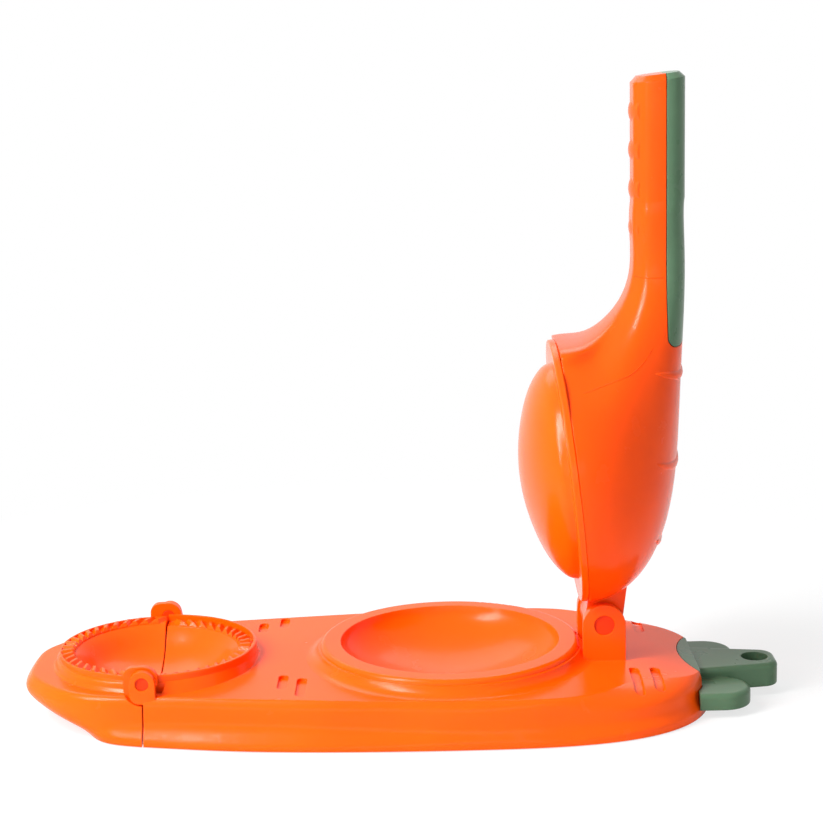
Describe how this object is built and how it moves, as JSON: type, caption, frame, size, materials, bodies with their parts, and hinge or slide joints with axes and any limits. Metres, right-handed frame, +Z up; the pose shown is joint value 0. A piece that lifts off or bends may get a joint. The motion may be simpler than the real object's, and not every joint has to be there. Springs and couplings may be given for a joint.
{
  "type": "dumpling wrapper press",
  "caption": "Hand-operated dough press: a domed lid on a long handle stamps a dough disc in a round dish, and the hinged nose folds over to seal and crimp the filled dumpling.",
  "frame": {"origin": "centre of the bounding box in plan, on the surface it stands on", "axes": "+X runs along the length from the folding nose to the leaf tail, +Y across it and +Z up; the object is symmetric across Y"},
  "size_m": [0.3298, 0.1382, 0.2713],
  "materials": {
    "orange_body": "gloss",
    "orange_flap": "gloss",
    "orange_lid": "gloss",
    "orange_dome": "gloss",
    "orange_pins": "satin",
    "green_cover": "satin",
    "green_tail": "satin",
    "screws": "satin",
    "pads": "matte"
  },
  "bodies": {
    "base": {"base_tray": "orange_body", "crimper_pin_front": "orange_pins", "crimper_pin_rear": "orange_pins", "lid_pin": "orange_pins", "leaf_tail": "green_tail", "tail_screws": "screws", "foot_pads": "pads"},
    "flap": {"crimper_flap": "orange_flap", "nose_foot_pads": "pads"},
    "lid": {"lid_shell": "orange_lid", "press_dome": "orange_dome", "handle_cover": "green_cover"}
  },
  "joints": [
    {"name": "lid_hinge", "type": "hinge", "parent": "base", "child": "lid", "pos_m": [0.0877, 0, 0.0359], "axis": [0, 1, 0], "range_deg": [-83.9, 0]},
    {"name": "crimper_hinge", "type": "hinge", "parent": "base", "child": "flap", "pos_m": [-0.1084, 0, 0.0258], "axis": [0, 1, 0], "range_deg": [0, 180]}
  ]
}
